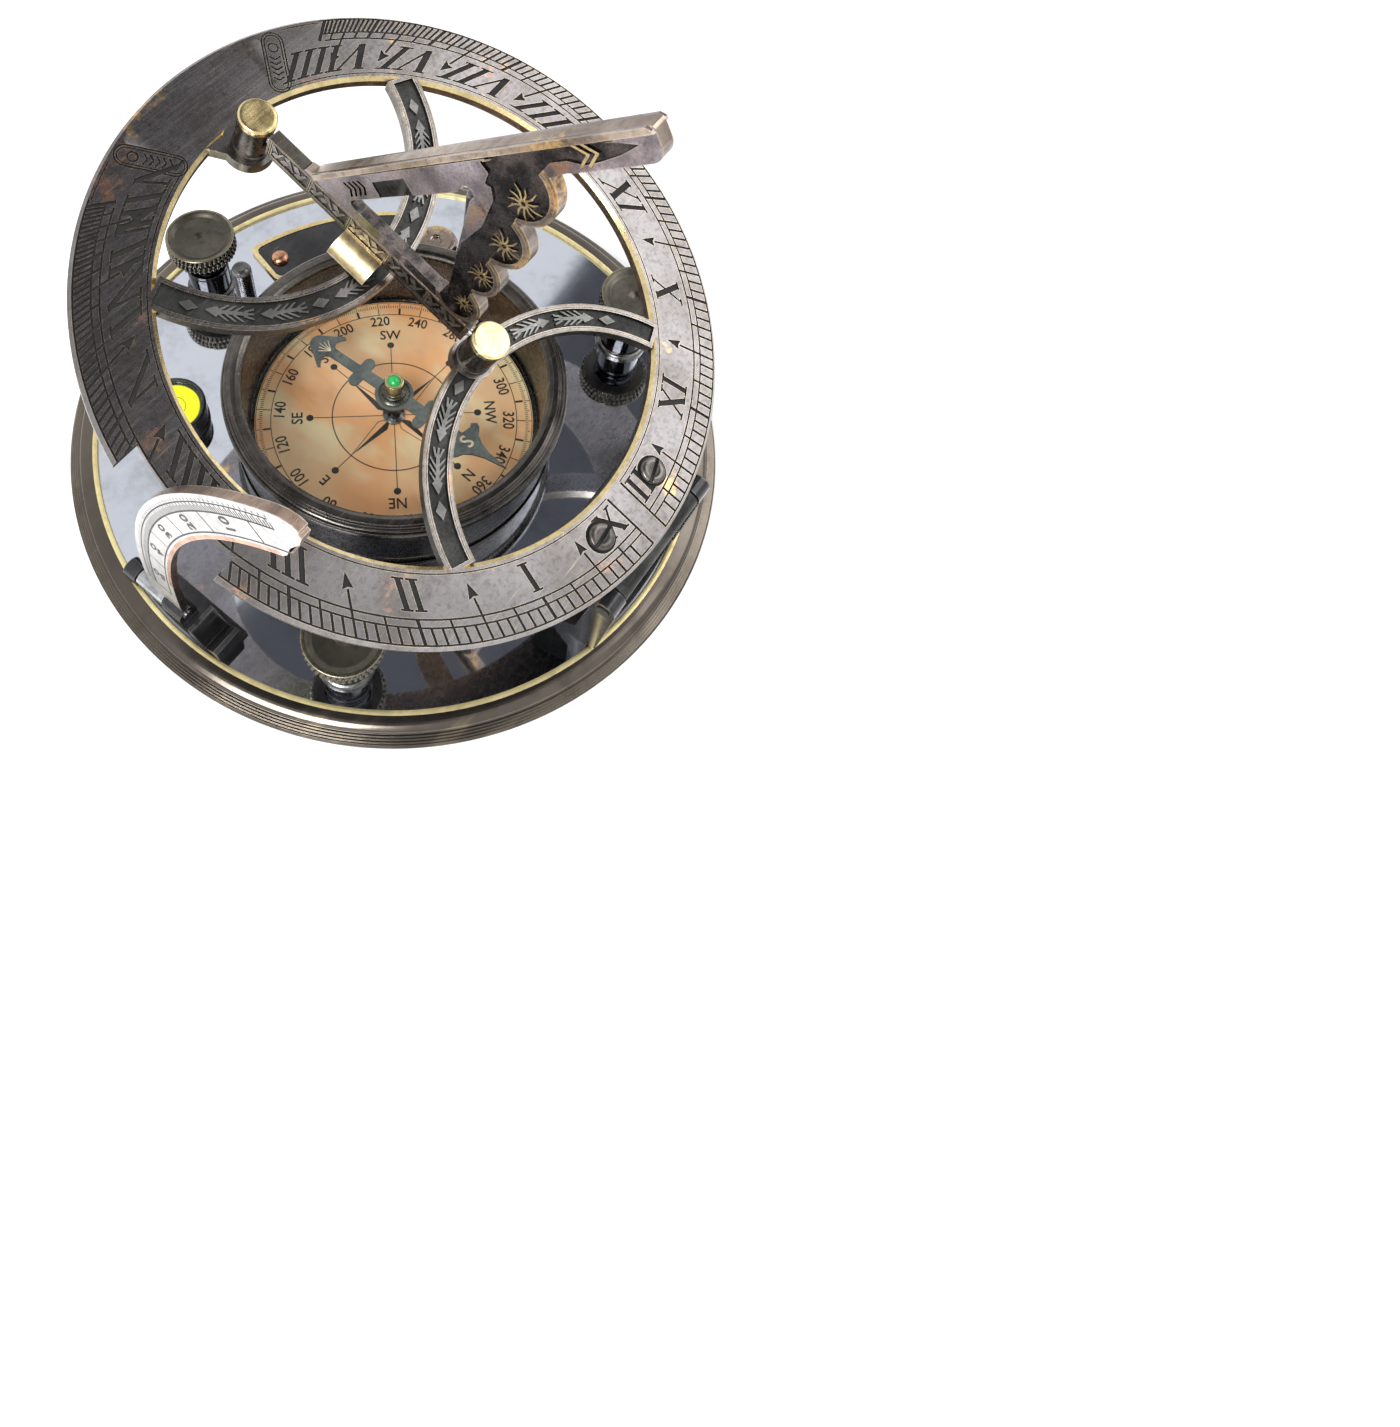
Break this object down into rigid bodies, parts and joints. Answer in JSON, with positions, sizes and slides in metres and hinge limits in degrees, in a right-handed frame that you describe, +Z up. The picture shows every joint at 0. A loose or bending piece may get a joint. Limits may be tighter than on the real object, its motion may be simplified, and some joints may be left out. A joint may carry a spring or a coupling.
{
  "type": "sundial compass",
  "caption": "Brass ring sundial with a folding gnomon and latitude arc on a round base with an inset compass, bubble level and levelling screws.",
  "frame": {"origin": "centre of the round base, on the ground under the levelling feet", "axes": "+Z up along the compass axis; -Y towards the hinge at the ring's noon end; -X towards the latitude arc"},
  "size_m": [0.127, 0.127, 0.1021],
  "materials": {
    "base_bronze": "polished",
    "ring_bronze": "satin",
    "dark_bronze": "satin",
    "gnomon_bronze": "satin",
    "brass": "polished",
    "copper": "satin",
    "silver_plate": "satin",
    "steel": "brushed",
    "blued_steel": "satin",
    "black_metal": "gloss",
    "clear_glass": "clear",
    "level_fluid": "clear",
    "jewel": "polished"
  },
  "bodies": {
    "root": {"base_plate": "base_bronze", "compass_bowl": "base_bronze", "bowl_screws": "steel", "compass_bezel": "base_bronze", "compass_glass": "clear_glass", "compass_card": "copper", "needle_pivot": "brass", "level_housing": "black_metal", "level_vial": "level_fluid", "level_glass": "clear_glass", "nameplate": "brass", "nameplate_rivets": "copper", "hinge_bracket": "black_metal", "bracket_screws": "steel", "hinge_pin": "steel", "arc_bracket": "black_metal", "arc_screws": "steel", "arc_pin": "steel", "rest_posts": "steel", "floor_stud": "silver_plate", "screw_bush_1": "dark_bronze", "screw_bush_2": "dark_bronze", "screw_bush_3": "dark_bronze"},
    "hour_ring": {"dial_ring": "ring_bronze", "hinge_leaf": "ring_bronze", "leaf_screws": "steel", "pillar_midnight": "dark_bronze", "pillar_noon": "dark_bronze", "pillar_cap_midnight": "brass", "pillar_cap_noon": "brass", "gnomon_pins": "steel"},
    "gnomon": {"gnomon_bar": "gnomon_bronze", "gnomon_plate": "gnomon_bronze", "stop_tab": "brass"},
    "arc": {"latitude_arc": "silver_plate", "arc_sleeve": "silver_plate"},
    "needle": {"compass_needle": "blued_steel", "needle_hub": "brass", "hub_jewel": "jewel"},
    "foot_1": {"levelling_foot_1": "steel"},
    "screw_1": {"levelling_knob_1": "dark_bronze", "levelling_screw_1": "steel"},
    "foot_2": {"levelling_foot_2": "steel"},
    "screw_2": {"levelling_knob_2": "dark_bronze", "levelling_screw_2": "steel"},
    "foot_3": {"levelling_foot_3": "steel"},
    "screw_3": {"levelling_knob_3": "dark_bronze", "levelling_screw_3": "steel"}
  },
  "joints": [
    {"name": "ring_tilt", "type": "hinge", "parent": "root", "child": "hour_ring", "pos_m": [0, -0.0548, 0.02355], "axis": [1, 0, 0], "range_deg": [-20, 60]},
    {"name": "gnomon_fold", "type": "hinge", "parent": "hour_ring", "child": "gnomon", "pos_m": [0, 0.00396, 0.05497], "axis": [0, 0.9385, 0.3453], "range_deg": [0, 88]},
    {"name": "arc_fold", "type": "hinge", "parent": "root", "child": "arc", "pos_m": [-0.055, 0.009, 0.0086], "axis": [0, 1, 0], "range_deg": [-12, 0]},
    {"name": "needle_spin", "type": "hinge", "parent": "root", "child": "needle", "pos_m": [0, 0, 0.0136], "axis": [0, 0, 1], "continuous": true},
    {"name": "foot_1_slide", "type": "slide", "parent": "root", "child": "foot_1", "axis": [0, 0, 1], "range_m": [-0.0016, 0.0012]},
    {"name": "screw_1_turn", "type": "hinge", "parent": "foot_1", "child": "screw_1", "pos_m": [0, 0.05, 0], "axis": [0, 0, 1], "range_deg": [-725, 545]},
    {"name": "foot_2_slide", "type": "slide", "parent": "root", "child": "foot_2", "axis": [0, 0, 1], "range_m": [-0.0016, 0.0012]},
    {"name": "screw_2_turn", "type": "hinge", "parent": "foot_2", "child": "screw_2", "pos_m": [0.0433, -0.025, 0], "axis": [0, 0, 1], "range_deg": [-725, 545]},
    {"name": "foot_3_slide", "type": "slide", "parent": "root", "child": "foot_3", "axis": [0, 0, 1], "range_m": [-0.0016, 0.0012]},
    {"name": "screw_3_turn", "type": "hinge", "parent": "foot_3", "child": "screw_3", "pos_m": [-0.0433, -0.025, 0], "axis": [0, 0, 1], "range_deg": [-725, 545]}
  ],
  "couplings": [
    {"joint": "screw_1_turn", "follows": "foot_1_slide", "rad_per_m": 7854},
    {"joint": "screw_2_turn", "follows": "foot_2_slide", "rad_per_m": 7854},
    {"joint": "screw_3_turn", "follows": "foot_3_slide", "rad_per_m": 7854}
  ]
}
